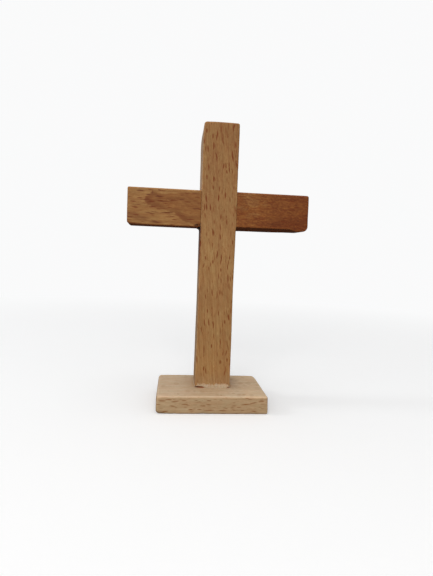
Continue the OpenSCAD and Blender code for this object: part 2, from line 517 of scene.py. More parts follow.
def round_bar_end(points, radius):
    """Rounds the lower edge of the right end over, from the smaller radius it already has."""
    x, _, z = points.T
    centre_x, centre_z = BAR.right - BAR_END_RADIUS, BAR.bottom + BAR_END_RADIUS
    away = np.stack([x - centre_x, z - centre_z], 1)
    corner = (away[:, 0] > 0) & (away[:, 1] < 0)
    length = np.maximum(np.linalg.norm(away, axis=1), 1e-9)
    large, small = np.abs(away).max(1) / length, np.abs(away).min(1) / length
    # distance out to the present outline, on its arc or on its flats
    inset = BAR_END_RADIUS - radius
    across = inset * (large + small)
    on_arc = across + np.sqrt(np.maximum(across * across - 2 * inset**2 + radius * radius, 0))
    on_flat = BAR_END_RADIUS / large
    present = np.where(small / large > inset / BAR_END_RADIUS, on_arc, on_flat)
    scale = BAR_END_RADIUS / present
    x[:] = np.where(corner, centre_x + away[:, 0] * scale, x)
    z[:] = np.where(corner, centre_z + away[:, 1] * scale, z)


def bend_bar_underside(points):
    """The hand-planed underside rises to the front on the right arm, up to near its end."""
    x, y, z = points.T
    back = np.clip((y - BAR.front) / (BAR.back - BAR.front), 0, 1)
    end = smoothstep(BAR.right - 10.5, BAR.right - 6.5, x)
    wide_end = smoothstep(BAR.right - 20, BAR.right - 4, x)
    right = smoothstep(-4, 8, x)
    rise_front = right * (0.8 - 1.0 * end)
    rise_front = rise_front + 0.2 * smoothstep(BAR.left + 14, BAR.left + 4, x)
    rise_right = -0.05 - 0.35 * np.exp(-np.clip(x - 10, 0, 99) / 8) + 0.3 * wide_end
    rise_back = 0.35 * (1 - right) + right * rise_right
    low = np.clip(1 - (z - BAR.bottom) / 5.0, 0, 1)
    z += low * (rise_front * (1 - back) + rise_back * back)


def build_bar():
    xs = grid_lines(
        BAR.left, BAR.right, step=0.5, edges=(BAR_EDGE, BAR_EDGE), edge_step=0.2,
        cuts=[BAR_NOTCH_LEFT, BAR_NOTCH_RIGHT],
    )
    side_grid = dict(step=0.42, edges=(BAR_EDGE, 1.4), edge_step=0.17)
    ys = grid_lines(BAR.front, BAR.back, **side_grid, cuts=[BAR_NOTCH_BACK])
    zs = grid_lines(BAR.bottom, BAR.top, **side_grid)

    def notch(x, y, z):
        return (y < BAR_NOTCH_BACK) & (x > BAR_NOTCH_LEFT) & (x < BAR_NOTCH_RIGHT)

    block, quads = block_mesh(xs, ys, zs, notch)
    points, edge = round_edges(block, BAR, bar_radius)
    round_bar_end(points, bar_radius(block))
    bend_bar_underside(points)
    obj = make_object("crossbar_wood", points, quads)
    add_attribute(obj, "edge", edge)
    add_heart_fields(obj)
    add_relief(obj, grain_axis=0, seed=41)
    # a chip broken out of the lower edge against the upright
    chip = ((POST.left - 0.7, BAR.front + 0.1, BAR.bottom + 0.9), 1.5, 0.9, (1.1, 1.0, 1.0))
    add_dents(obj, edge_knocks(BAR, axis=0, count=12, seed=51) + [chip])
    return obj


# ---------------------------------------------------------------- the base plate

BASE_EDGE = 2.2  # largest edge radius
SINK_RADIUS = 4.0  # countersink for the screw's head
CLEARANCE_RADIUS = 2.15  # hole for its shank


def base_radius(points):
    height = (points[:, 2] - BASE.bottom) / (BASE.top - BASE.bottom)
    radius = 0.75 + 0.6 * smoothstep(0.2, 0.8, height)
    radius = radius + 0.14 * fractal_noise(points, (7, 7, 7), 61)
    soften(
        radius, points,
        (1.05, (BASE.left, BASE.front, BASE.bottom), (3.5, 4, 2.6)),
        (0.4, (BASE.left, BASE.front, BASE.top), (3, 4, 4)),
        (0.45, (BASE.left, BASE.back, BASE.top), (3, 3, 3)),
        (0.8, (BASE.right, BASE.back, BASE.top), (3, 3, 3)),
    )
    return np.clip(radius, 0.4, BASE_EDGE)


def build_base():
    side_grid = dict(step=0.5, edges=(BASE_EDGE, BASE_EDGE), edge_step=0.18)
    xs = grid_lines(BASE.left, BASE.right, **side_grid)
    ys = grid_lines(BASE.front, BASE.back, **side_grid)
    zs = grid_lines(BASE.bottom, BASE.top, step=0.42, edges=(1.4, BASE_EDGE), edge_step=0.18)
    block, quads = block_mesh(xs, ys, zs)
    points, edge = round_edges(block, BASE, base_radius)
    obj = make_object("base_plate_wood", points, quads)
    add_attribute(obj, "edge", edge)
    add_relief(obj, grain_axis=0, seed=71, wave=0.05)
    dents = edge_knocks(BASE, axis=0, count=10, seed=81)
    dents += edge_knocks(BASE, axis=1, count=6, seed=82)
    dents += [
        ((BASE.left + 9.5, BASE.front + 0.4, BASE.top), 0.9, 0.22, (2.0, 1, 1)),
        ((BASE.left + 33, BASE.front + 0.4, BASE.top), 0.8, 0.2, (1.6, 1, 1)),
    ]
    add_dents(obj, dents)
    # the underside is flat, so that the plate sits on the table
    points = get_points(obj)
    z = points[:, 2]
    z[:] = np.where(z < BASE.bottom + 0.09, BASE.bottom, z)
    set_points(obj, points)
    countersink = [
        (0, BASE.bottom - 2),
        (SINK_RADIUS + 0.12, BASE.bottom - 2),
        (SINK_RADIUS + 0.12, BASE.bottom + 0.2),
        (SINK_RADIUS, BASE.bottom + SCREW.bottom),
        (CLEARANCE_RADIUS, SCREW.bottom + SINK_RADIUS - CLEARANCE_RADIUS),
        (CLEARANCE_RADIUS, BASE.top + 2),
        (0, BASE.top + 2),
    ]
    cut(obj, revolve("countersink", countersink, 96))
    return obj


# ---------------------------------------------------------------- the glue under the foot


def ring_path(box, radius, step):
    """Points and outward directions round a box with rounded corners, seen from above.
    The path starts at the front left corner and runs along the front."""
    left, right = box.left + radius, box.right - radius
    front, back = box.front + radius, box.back - radius
    runs = [  # start, end, outward direction, centre of the corner after it
        ((left, box.front), (right, box.front), (0, -1), (right, front)),
        ((box.right, front), (box.right, back), (1, 0), (right, back)),
        ((right, box.back), (left, box.back), (0, 1), (left, back)),
        ((box.left, back), (box.left, front), (-1, 0), (left, front)),
    ]
    path, outward = [], []
    for turn, (start, end, direction, centre) in enumerate(runs):
        start, end = np.array(start), np.array(end)
        count = max(2, int(round(np.linalg.norm(end - start) / step)))
        for k in range(count):
            path.append(start + (end - start) * k / count)
            outward.append(direction)
        for k in range(5):
            angle = math.radians(90 * (turn - 1) + 90 * k / 5)
            heading = (math.cos(angle), math.sin(angle))
            path.append(np.array(centre) + radius * np.array(heading))
            outward.append(heading)
    return np.array(path), np.array(outward)


def build_foot_glue():
    path, outward = ring_path(POST, radius=0.75, step=0.16)
    count = len(path)
    bottom = BASE.top
    front = np.clip(-outward[:, 1], 0, 1)
    flat = np.concatenate([path, np.zeros((count, 1))], 1)
    slow = fractal_noise(flat, (3.2, 3.2, 3), 91)
    medium = fractal_noise(flat, (1.1, 1.1, 1), 92, 2)
    fast = fractal_noise(flat, (0.34, 0.34, 1), 93, 2)
    from_left, from_right = path[:, 0] - POST.left, POST.right - path[:, 0]
    # height on the upright's face: a jagged smear at the front, a thin line elsewhere
    heights = 0.55 + 0.2 * slow + 0.1 * medium
    front_heights = 2.25 + 0.4 * slow + 0.6 * medium + 1.35 * fast
    off_corners = smoothstep(0.2, 1.6, from_left) * smoothstep(0.2, 1.4, from_right)
    heights = heights + (front_heights - heights) * front * off_corners
    heights = np.clip(heights, 0.3, FOOT_GLUE.top - bottom + 0.9)
    # width on the base: nothing where the foot stands off it, then a lumpy bead
    widths = 0.45 + 0.2 * slow + 0.12 * medium
    bead = smoothstep(4.6, 6.6, from_left) * smoothstep(0.6, 2.6, from_right)
    front_widths = 0.1 + bead * (1.15 + 0.35 * slow + 0.35 * medium + 0.15 * fast)
    widths = np.clip(widths + (front_widths - widths) * front, 0.06, 2.2)
    lift_left = 0.7 * (1 - smoothstep(3.6, 6.2, from_left))
    lift = front * (lift_left + 0.45 * (1 - smoothstep(0.4, 2.0, from_right)))
    # each section is concave, from a thin skin on the upright to the toe on the base
    steps = 13
    share = np.linspace(0, 1, steps)
    angle = share * math.pi / 2
    belly = np.sin(np.pi * share)
    inner = 0.12  # how far the glue reaches in behind the upright's face
    sections = []
    for i in range(count):
        height, width = heights[i], widths[i]
        foot = bottom + lift[i]
        z = foot + 0.01 + (height - lift[i]) * np.abs(1 - np.sin(angle)) ** 0.75
        out = 0.05 + (width - 0.05) * (1 - np.cos(angle)) ** 1.15 + 0.1 * belly * (height > 1)
        on_face = np.column_stack([np.tile(path[i], (steps, 1)), z])
        lump = 0.05 * value_noise(on_face, (0.5, 0.5, 0.4), 95)
        out = np.clip(out + lump * belly**0.5 * (1 if height > 1 else 0.4), 0.03, 3)
        # closed behind the upright's face and just under the toe
        out = np.append(out, [0, -inner, -inner])
        z = np.append(z, [foot + 0.004, foot + 0.004, bottom + height + 0.01])
        sections.append(np.column_stack([path[i] + outward[i] * out[:, None], z]))
    faces = sleeve(count, steps + 3, closed=True)
    return make_object("foot_glue_bead", np.concatenate(sections), faces)


# ---------------------------------------------------------------- the glue in the lap


def on_x_axis(values):
    return np.stack([values, values * 0, values * 0], 1)


def corner_bead():
    """Points and faces of the uneven bead along the corner under the left arm."""
    x, z = POST.left, BAR.bottom
    front, back = LAP_GLUE.front + 0.6, POST.back - 1.2
    count, steps = 110, 9
    ys = np.linspace(front, back, count)
    line = on_x_axis(ys)
    legs = 1.15 + 0.25 * fractal_noise(line, (3, 3, 3), 101)
    legs = legs + 0.12 * fractal_noise(line, (0.8, 1, 1), 102)
    legs = legs * np.sqrt(np.clip(np.minimum(ys - front, back - ys) / 1.2, 0, 1))
    angle = np.linspace(0, math.pi / 2, steps)
    sections = []
    for y, leg in zip(ys, np.maximum(legs, 0.05)):
        section_x = x - leg * np.abs(1 - np.sin(angle)) ** 0.95
        section_z = z - leg * np.abs(1 - np.cos(angle)) ** 0.95
        section_x = np.append(section_x, [x + 0.06, x + 0.06, x - leg * 0.98])
        section_z = np.append(section_z, [z - leg * 0.98, z + 0.05, z + 0.05])
        sections.append(np.column_stack([section_x, np.full(steps + 3, y), section_z]))
    size = steps + 3
    faces = sleeve(count, size, flip=True)
    faces += [tuple(range(size)), tuple(reversed(range((count - 1) * size, count * size)))]
    return np.concatenate(sections), faces


def joint_strip(x0, x1, seed, first):
    """Points and faces of the glue line in one side of the joint, a little below the wood."""
    count = 60
    zs = np.linspace(BAR.bottom + 0.25, BAR.top - 0.25, count)
    sunk = POST.front + 0.13 + 0.08 * fractal_noise(on_x_axis(zs), (1.6, 1, 1), seed)
    back = POST.front + 2.0
    points = [
        corner
        for y, z in zip(sunk, zs)
        for corner in ((x0, y, z), (x1, y, z), (x1, back, z), (x0, back, z))
    ]
    faces = sleeve(count, 4, first)
    last = first + (count - 1) * 4
    faces += [(first + 3, first + 2, first + 1, first), tuple(range(last, last + 4))]
    return points, faces


def build_lap_glue():
    points, faces = corner_bead()
    sides = (
        (POST.left - FILM - 0.04, POST.left + 0.09),
        (POST.right - 0.06, POST.right + FILM + 0.04),
    )
    for side, (x0, x1) in enumerate(sides):
        strip_points, strip_faces = joint_strip(x0, x1, 111 + side, len(points))
        points = np.concatenate([points, strip_points])
        faces += strip_faces
    return make_object("lap_glue_bead", points, faces)


# ---------------------------------------------------------------- the screw

HEAD_RADIUS = (SCREW.right - SCREW.left) / 2
HEAD_RIM = 0.15  # height of the straight rim of the head
SHANK_RADIUS, CORE_RADIUS, CREST_RADIUS = 1.46, 1.2, 1.9
PITCH = 1.8
CONE_TOP = SCREW.bottom + HEAD_RADIUS + HEAD_RIM - SHANK_RADIUS
THREAD_START = BASE.top + 1.3
TIP_START = SCREW.top - 4.0


def screw_radius(z, angle):
    if z <= SCREW.bottom + 0.001:
        return HEAD_RADIUS - 0.08
    if z <= SCREW.bottom + 0.16:
        return HEAD_RADIUS
    if z <= CONE_TOP:
        return HEAD_RADIUS + HEAD_RIM - (z - SCREW.bottom)
    if z < THREAD_START:
        return SHANK_RADIUS
    taper = 1 - smoothstep(TIP_START, SCREW.top + 0.6, z)
    body = SHANK_RADIUS + (CORE_RADIUS - SHANK_RADIUS) * min(1, (z - THREAD_START) / 1.0)
    phase = ((z - THREAD_START) / PITCH - angle / (2 * np.pi)) % 1.0
    tooth = max(0.0, 1 - abs(phase - 0.5) / 0.28)
    grow = min(1, (z - THREAD_START) / PITCH)
    return max((body + (CREST_RADIUS - body) * tooth**0.8 * grow) * taper, 0.05)


def recess_wing(angle):
    """A cutter for one of the two crossed slots of the recess, narrowing into the head."""
    along, across = math.cos(angle), math.sin(angle)
    points = []
    # z, half length, half width
    levels = ((SCREW.bottom - 0.5, 2.35, 0.5), (SCREW.bottom + 1.7, 0.5, 0.22))
    for z, length, half in levels:
        for side_x, side_y in ((-1, -1), (1, -1), (1, 1), (-1, 1)):
            x, y = side_x * length, side_y * half
            points.append((SCREW_X + x * along - y * across, SCREW_Y + x * across + y * along, z))
    faces = [(0, 1, 2, 3), (7, 6, 5, 4)]
    faces += [(4 + i, 4 + (i + 1) % 4, (i + 1) % 4, i) for i in range(4)]
    cutter = make_object("wing", points, faces, smooth=False)
    mesh = bmesh.new()
    mesh.from_mesh(cutter.data)
    bmesh.ops.recalc_face_normals(mesh, faces=mesh.faces)
    mesh.to_mesh(cutter.data)
    mesh.free()
    return cutter


def build_screw():
    count = 72
    bottom, top = SCREW.bottom, SCREW.top
    levels = np.concatenate([
        [bottom, bottom + 0.06, bottom + HEAD_RIM],
        np.linspace(bottom + 0.3, CONE_TOP, 8),
        np.linspace(CONE_TOP + 0.4, THREAD_START, 6),
        np.arange(THREAD_START + 0.1, top - 0.05, 0.1),
    ])
    points = [(SCREW_X, SCREW_Y, bottom)]
    for z in levels:
        for angle in ring_angles(count):
            radius = screw_radius(z, angle)
            x, y = SCREW_X + radius * math.cos(angle), SCREW_Y + radius * math.sin(angle)
            points.append((x, y, z))
    faces = []
    for k in range(count):
        faces.append((0, 1 + (k + 1) % count, 1 + k))
        faces += wall_strip(1, len(levels), count, k)
    last = len(points)
    points.append((SCREW_X, SCREW_Y, top))
    ring = last - count
    faces += [(last, ring + k, ring + (k + 1) % count) for k in range(count)]
    obj = make_object("foot_screw_zinc", points, faces)
    for angle in (0.35, 0.35 + math.pi / 2):
        cut(obj, recess_wing(angle))
    return obj


# ---------------------------------------------------------------- shader building


class Value:
    """An output socket. Arithmetic on it adds Math nodes to its tree."""

    def __init__(self, mat, socket):
        self.mat = mat
        self.socket = socket

    def output(self, name):
        """Another output of the same node."""
        return Value(self.mat, self.socket.node.outputs[name])

    def smooth(self, start, stop, low=0.0, high=1.0, kind="SMOOTHSTEP"):
        """Goes from low at start to high at stop, with soft ends."""
        inputs = dict(enumerate((self, start, stop, low, high)))
        return self.mat.node("ShaderNodeMapRange", inputs, interpolation_type=kind)

    def linear(self, start, stop, low=0.0, high=1.0):
        """Goes from low at start to high at stop in a straight line."""
        return self.smooth(start, stop, low, high, "LINEAR")

    def __add__(self, other):
        return self.mat.math("ADD", self, other)

    def __radd__(self, other):
        return self.mat.math("ADD", other, self)

    def __sub__(self, other):
        return self.mat.math("SUBTRACT", self, other)

    def __mul__(self, other):
        return self.mat.math("MULTIPLY", self, other)

    def __truediv__(self, other):
        return self.mat.math("DIVIDE", self, other)

    def __pow__(self, other):
        return self.mat.math("POWER", self, other)

    def __abs__(self):
        return self.mat.math("ABSOLUTE", self)


class Shader:
    """Builds the node tree of a material or a world."""

    def __init__(self, owner, output="ShaderNodeOutputMaterial"):
        owner.use_nodes = True
        self.owner = owner
        self.tree = owner.node_tree
        self.tree.nodes.clear()
        self.result = self.tree.nodes.new(output)

    def put(self, socket, value):
        if isinstance(value, Value):
            self.tree.links.new(value.socket, socket)
            return
        if isinstance(value, tuple) and len(value) == 3 and socket.type == "RGBA":
            value = (*value, 1)
        socket.default_value = value

    def node(self, kind, inputs={}, output=0, **settings):
        """Adds a node, fills its inputs by name or number, and returns one of its outputs."""
        node = self.tree.nodes.new(kind)
        for key, value in settings.items():
            setattr(node, key, value)
        for key, value in inputs.items():
            self.put(node.inputs[key], value)
        return Value(self, node.outputs[output])

    def surface(self, shader):
        self.put(self.result.inputs[0], shader)
        return self.owner

    def math(self, operation, *values):
        return self.node("ShaderNodeMath", dict(enumerate(values)), operation=operation)

    def max(self, first, second):
        return self.math("MAXIMUM", first, second)

    def xyz(self, x, y, z):
        return self.node("ShaderNodeCombineXYZ", {0: x, 1: y, 2: z})

    def split(self, vector):
        x = self.node("ShaderNodeSeparateXYZ", {0: vector})
        return x, x.output("Y"), x.output("Z")

    def vector(self, operation, first, second, output=0):
        inputs = {0: first, 1: second}
        return self.node("ShaderNodeVectorMath", inputs, output, operation=operation)

    def dot(self, first, second):
        return self.vector("DOT_PRODUCT", first, second, "Value")

    def scale(self, vector, factor):
        inputs = {0: vector, "Scale": factor}
        return self.node("ShaderNodeVectorMath", inputs, operation="SCALE")

    def object_place(self):
        return self.node("ShaderNodeTexCoord", output="Object")

    def place_mm(self):
        return self.scale(self.object_place(), 1000.0)

    def normal(self):
        """The x, y and z of the surface's normal."""
        return self.split(self.node("ShaderNodeNewGeometry", output="Normal"))

    def noise(self, vector, scale=1.0, detail=2.0, rough=0.5):
        inputs = {"Vector": vector, "Scale": scale, "Detail": detail, "Roughness": rough}
        return self.node("ShaderNodeTexNoise", inputs, noise_dimensions="3D")

    def cells(self, vector, exponent, random):
        """Distance to the nearest of a set of scattered points, and three random numbers
        for that point."""
        distance = self.node(
            "ShaderNodeTexVoronoi",
            {"Vector": vector, "Scale": 1.0, "Exponent": exponent, "Randomness": random},
            "Distance", voronoi_dimensions="3D", feature="F1", distance="MINKOWSKI",
        )
        # a cell's colour repeats where its point lies in it, so it is hashed once more
        inputs = {"Vector": distance.output("Color")}
        hashed = self.node("ShaderNodeTexWhiteNoise", inputs, "Color", noise_dimensions="3D")
        return distance, self.split(hashed)

    def mix(self, amount, first, second, mode="MIX"):
        return self.node(
            "ShaderNodeMix", {0: amount, 6: first, 7: second}, 2,
            data_type="RGBA", blend_type=mode, clamp_factor=True,
        )

    def tint(self, color, factor, amount=None):
        """The colour multiplied by a factor, wholly or by an amount."""
        tinted = self.mix(1.0, color, factor, "MULTIPLY")
        return tinted if amount is None else self.mix(amount, color, tinted)

    def ramp(self, value, stops):
        color = self.node("ShaderNodeValToRGB", {0: value})
        elements = color.socket.node.color_ramp.elements
        while len(elements) > 1:
            elements.remove(elements[-1])
        elements[0].position = stops[0][0]
        elements[0].color = (*stops[0][1], 1)
        for position, stop_color in stops[1:]:
            elements.new(position).color = (*stop_color, 1)
        return color

    def bump(self, height, strength, distance):
        """A bumped normal; the distance is in metres."""
        inputs = {"Height": height, "Strength": strength, "Distance": distance}
        return self.node("ShaderNodeBump", inputs)

    def attribute(self, name):
        return self.node("ShaderNodeAttribute", output="Fac", attribute_name=name)

    def principled(self, color, rough, normal, **extra):
        inputs = {"Base Color": color, "Roughness": rough, "Normal": normal}
        inputs.update({name.replace("_", " "): value for name, value in extra.items()})
        return self.surface(self.node("ShaderNodeBsdfPrincipled", inputs))


def new_material(name):
    return Shader(bpy.data.materials.new(name))


def srgb(*levels):
    """An sRGB colour in 0..255 as linear numbers."""
    shares = [level / 255 for level in levels]
    return tuple(s / 12.92 if s <= 0.04045 else ((s + 0.055) / 1.055) ** 2.4 for s in shares)


def spindle(mat, point, start, end, width, depth=2.5, facing=(0, 1, 0)):
    """A drawn-out mark between two points, as a mask: 1 in the middle, 0 outside. Width and
    depth are half sizes, across the mark and along facing."""
    start, end = Vector(start), Vector(end)
    half = (end - start).length / 2
    offset = mat.vector("SUBTRACT", point, tuple((start + end) / 2))
    axis = (end - start).normalized()
    side = Vector(facing).cross(axis)
    along = mat.dot(offset, tuple(axis)) * (1 / half)
    across = mat.dot(offset, tuple(side)) * (1 / width)
    inward = mat.dot(offset, facing) * (1 / depth)
    return (along * along + across * across + inward * inward).smooth(1.0, 0.25)


def front_marks(mat, point, front, marks, ink=None):
    """The strongest of ink and the marks on a front face."""
    for x0, z0, x1, z1, width, strength in marks:
        mark = spindle(mat, point, (x0, front, z0), (x1, front, z1), width) * strength
        ink = mark if ink is None else mat.max(ink, mark)
    return ink


# ---------------------------------------------------------------- beech


def grain_coords(mat, along, slope, wander):
    """The place in mm, and the same as (tangential, radial, along the grain) with a slight
    slope of grain and a slow wander."""
    point = mat.place_mm()
    shifted = mat.vector("ADD", point, (37.0, 11.0, 5.0))
    first = mat.noise(mat.scale(point, 0.045))
    second = mat.noise(mat.scale(shifted, 0.06))
    x, y, z = mat.split(point)
    tangent, length = (x, z) if along == "z" else (z, x)
    tangent = tangent + length * slope + (first - 0.5) * (2.2 * wander)
    return point, tangent, y + (second - 0.5) * (2.2 * wander), length


def beech(
    name, paint, along, slope, ground, dark, fleck, rings, seed, fleck_strength, rough=0.55,
    spec=0.2, streaks=1.0, edge_wear_and_highlight=(1.16, 1.14, 1.12), fleck_wide=1.0, fleck_long=1.0,
    wander=1.0, small=0.7, scatter=1.0,
):
    """Beech as a solid: growth rings round a pith line, fibres along the grain, and rays, which
    show as short dark spindles on a flat-sawn face, as flecks on a quarter-sawn one and as
    lines on the end grain. paint(mat, wood, color, rays) adds what is particular to a piece."""
    mat = new_material(name)
    point, tangent, radial, length = grain_coords(mat, along, slope, wander)
    offset = float(seed) * 13.7

    def grain_noise(across, deep, lengthwise, shift, detail=2.0, rough=0.5):
        """Noise with its own frequency per millimetre in each direction of the grain."""
        place = mat.xyz(tangent * across, radial * deep, length * lengthwise + (offset + shift))
        return mat.noise(place, detail=detail, rough=rough)

    fibre = grain_noise(2.6, 2.6, 0.05, 0, detail=3.0, rough=0.6)
    fine = grain_noise(7.0, 7.0, 0.28, 0, rough=0.6)
    streak = grain_noise(1.15, 0.7, 0.06, 1, rough=0.55)
    mottle = grain_noise(1.3, 0.8, 0.42, 2, rough=0.6)
    hue = grain_noise(0.5, 0.4, 0.16, 5, rough=0.55)
    cloud = grain_noise(0.11, 0.11, 0.035, 0)
    band = grain_noise(0.75, 0.75, 0.018, 3)

    # growth rings, each darkening to its late wood
    (pith_tangent, pith_radial), (lean_tangent, lean_radial) = rings["pith"], rings["lean"]
    from_tangent = tangent + length * lean_tangent - pith_tangent
    from_radial = radial + length * lean_radial - pith_radial
    distance = mat.math("SQRT", from_tangent * from_tangent + from_radial * from_radial)
    ripple = grain_noise(0.16, 0.16, 0.03, 7, detail=3.0, rough=0.55)
    distance = distance + (ripple - 0.5) * 3.4
    phase = mat.math("FRACT", distance / rings["spacing"])
    late = phase.smooth(0.35, 0.93) * phase.smooth(1.0, 0.94)

    # rays: big spindles, a few of them strong, and a scatter of small ones
    bend = grain_noise(0.3, 0.3, 0.16, 0, detail=1.0)
    bent = tangent + (bend - 0.5) * 0.35
    place = mat.xyz(
        bent * (1.3 / fleck_wide) + offset, radial * 0.14, length * (0.2 / fleck_long)
    )
    away, chance = mat.cells(place, exponent=1.6, random=0.95)
    size = chance[0].linear(0.0, 1.0, 0.28, 0.6)
    big_rays = (away / size).smooth(1.0, 0.6) * chance[1].smooth(0.3, 1.0, 0.1, 1.0)
    place = mat.xyz(
        bent * (1.7 * scatter) + (offset + 9), radial * 0.22, length * (0.42 * scatter)
    )
    away, chance = mat.cells(place, exponent=1.3, random=1.0)
    size = chance[0].linear(0.0, 1.0, 0.12, 0.4)
    strong = chance[1].smooth(0.2 / scatter**2, 1.0, 0.1 * scatter, 0.8)
    small_rays = (away / size).smooth(1.0, 0.35) * strong
    rays = mat.max(big_rays, small_rays * small)

    # which face is this: end grain, or quarter-sawn
    normal_x, _, normal_z = mat.normal()
    along_normal, side_normal = normal_x, normal_z
    if along == "z":
        along_normal, side_normal = normal_z, normal_x
    end = abs(along_normal).smooth(0.55, 0.95)
    quarter = abs(side_normal).smooth(0.6, 0.95)

    color = mat.mix(cloud.smooth(0.25, 0.75), ground, mat.mix(0.5, ground, dark))
    color = mat.mix(late * 0.3, color, dark)
    color = mat.mix(band.smooth(0.45, 0.75) * 0.5, color, dark)
    wood = SimpleNamespace(point=point, mottle=mottle, streak=streak, fibre=fibre)
    color, rays = paint(mat, wood, color, rays)

    def contrast(field, amount):
        return field.linear(0.25, 0.75, 1 - amount * streaks, 1 + amount * streaks)

    light = contrast(fibre, 0.12) * contrast(fine, 0.07)
    light = light * contrast(streak, 0.17) * contrast(mottle, 0.16)
    # dark fibres are redder than pale ones
    color = mat.tint(color, mat.xyz(light**0.6, light, light**1.3))
    warm = hue.linear(0.3, 0.7, -1.0, 1.0)
    shift = mat.xyz(1.0 + warm * 0.015, 1.0 + warm * -0.03, 1.0 + warm * -0.045)
    color = mat.tint(color, shift)
    ray_strength = rays * quarter.linear(0, 1, fleck_strength, fleck_strength * 0.4)
    color = mat.mix(ray_strength, color, fleck)
    color = mat.tint(color, (0.6, 0.52, 0.44), end * 0.75)
    # paler on rounded edges: partly sanding wear, partly a painted highlight where they catch
    # light
    edge = mat.attribute("edge")
    color = mat.tint(color, edge_wear_and_highlight, edge * 0.5)
    speck = mat.noise(mat.scale(point, 5.0), rough=0.7)
    speck_stops = [(0.25, (0.93, 0.92, 0.91)), (0.5, (1, 1, 1)), (0.75, (1.0, 1.0, 1.0))]
    color = mat.tint(color, mat.ramp(speck, speck_stops))

    roughness = rough + (fibre - 0.5) * 0.22 + rays * 0.08 + end * 0.15 + edge * -0.05
    height = fibre * 0.6 + fine * 0.5 + rays * -0.7 + speck * 0.25 + late * 0.25
    bumped = mat.bump(height, strength=0.55, distance=0.00006)
    return mat.principled(color, roughness, bumped, Specular_IOR_Level=spec)


# ---------------------------------------------------------------- the upright's material

# the plainest ray marks on the front: x, z at one end, x, z at the other, half width, strength
POST_MARKS = [
    (0.8, 152.6, 0.4, 157.3, 0.65, 0.60), (2.1, 146.7, 1.2, 151.4, 0.65, 0.66),
    (7.8, 137.8, 7.0, 144.7, 0.47, 1.00), (-3.7, 109.6, -3.9, 113.9, 0.47, 1.00),
    (0.5, 114.8, 0.7, 119.7, 0.47, 1.00), (9.3, 48.1, 8.7, 52.5, 0.44, 1.00),
    (7.8, 69.2, 7.5, 75.9, 0.42, 0.96), (-4.5, 28.2, -4.5, 35.0, 0.47, 0.66),
    (7.8, 27.9, 8.8, 31.8, 0.47, 0.66), (-3.1, 142.6, -3.4, 148.4, 0.42, 0.84),
    (7.6, 155.2, 7.9, 158.4, 0.52, 1.00), (5.4, 23.2, 5.2, 26.0, 0.47, 0.72),
    (-3.7, 149.1, -3.9, 152.7, 0.42, 1.00), (-4.3, 19.0, -4.2, 22.3, 0.44, 0.96),
    (-1.2, 80.2, -1.3, 83.4, 0.44, 1.00), (7.5, 16.2, 8.2, 20.2, 0.44, 0.66),
    (-6.8, 77.7, -6.0, 81.0, 0.44, 0.72), (-0.3, 32.3, -0.3, 35.1, 0.47, 0.84),
    (2.7, 133.1, 2.9, 136.8, 0.42, 0.96), (2.4, 104.9, 2.3, 108.7, 0.42, 1.00),
    (9.0, 24.4, 8.9, 27.2, 0.44, 0.96), (6.9, 46.3, 6.8, 49.1, 0.44, 1.00),
    (-0.7, 138.4, -2.2, 142.5, 0.39, 0.78), (-3.0, 52.4, -3.5, 55.1, 0.44, 0.84),
    (8.0, 82.8, 8.1, 85.5, 0.44, 0.84), (9.7, 91.3, 9.5, 94.5, 0.42, 0.84),
    (-5.2, 82.3, -5.8, 84.9, 0.44, 0.78), (3.5, 75.8, 3.3, 78.5, 0.42, 0.90),
    (1.2, 120.4, 0.9, 124.1, 0.42, 0.72), (2.9, 93.8, 2.0, 97.6, 0.42, 0.78),
    (4.9, 130.5, 4.5, 133.1, 0.44, 1.00), (-7.2, 152.1, -7.3, 155.2, 0.44, 1.00),
    (-6.2, 126.6, -6.4, 130.3, 0.44, 0.90), (-2.3, 121.3, -2.9, 124.4, 0.44, 0.84),
]


def paint_post(mat, wood, color, rays):
    _, y, z = mat.split(wood.point)
    mottle, streak = wood.mottle - 0.5, wood.streak - 0.5
    foot, arm = POST.bottom, BAR.bottom
    # a little redder low down, duller towards the top
    warm = z.smooth(foot + 80, foot + 30, 0.0, 0.55) * wood.mottle.smooth(0.4, 0.62)
    color = mat.tint(color, (0.93, 0.84, 0.78), warm * 0.5)
    color = mat.tint(color, (0.8, 0.72, 0.62), z.smooth(foot + 70, POST.top) * 0.8)
    # painted sheen greys the left side; painted shadow of the arm makes it red-brown under the
    # arm
    normal_x, _, normal_z = mat.normal()
    left = normal_x.smooth(-0.5, -0.9)
    ends = z + mottle * 16.0 + streak * 18.0 + (y - POST.front) * -0.35
    arm_shadow = z.smooth(arm + 1, arm - 1.5) * ends.smooth(arm - 30, arm - 15)
    left_side_sheen = left * z.smooth(foot + 2, foot + 20, 0.08, 0.5)
    color = mat.mix(left_side_sheen, color, srgb(206, 176, 142))
    # painted shade: the foot's end grain, where it shows above the gap, is painted red-brown
    foot_gap_shade = normal_z.smooth(-0.2, -0.6) * z.smooth(foot + 2.0, foot + 1.2) * 0.85
    color = mat.mix(foot_gap_shade, color, srgb(158, 70, 20))
    # painted shadow of the arm on the left side, weaker towards the back
    arm_shadow = left * arm_shadow * y.smooth(POST.front + 4, POST.back, 0.92, 0.5)
    color = mat.mix(arm_shadow, color, srgb(136, 66, 20))
    # darker with glue and handling just above the foot
    handled = (z + streak * 6.0).smooth(foot + 12, foot + 3)
    color = mat.tint(color, (0.88, 0.93, 1.08), handled)
    color = mat.tint(color, (0.965, 0.96, 0.97), z.smooth(foot + 66, foot + 30))
    rays = rays * z.linear(foot + 60, foot + 90, 0.86, 1.15)
    return color, front_marks(mat, wood.point, POST.front, POST_MARKS, rays)


def post_material():
    return beech(
        "beech_upright", paint_post, along="z", slope=0.078,
        ground=srgb(185, 141, 87), dark=srgb(166, 117, 71), fleck=srgb(130, 59, 17),
        rings=dict(pith=(6.0, 70.0), lean=(0.01, 0.03), spacing=3.1), seed=3,
        fleck_strength=0.92, streaks=1.05, wander=0.45, small=1.1, scatter=1.35,
    )


# ---------------------------------------------------------------- the crossbar's material

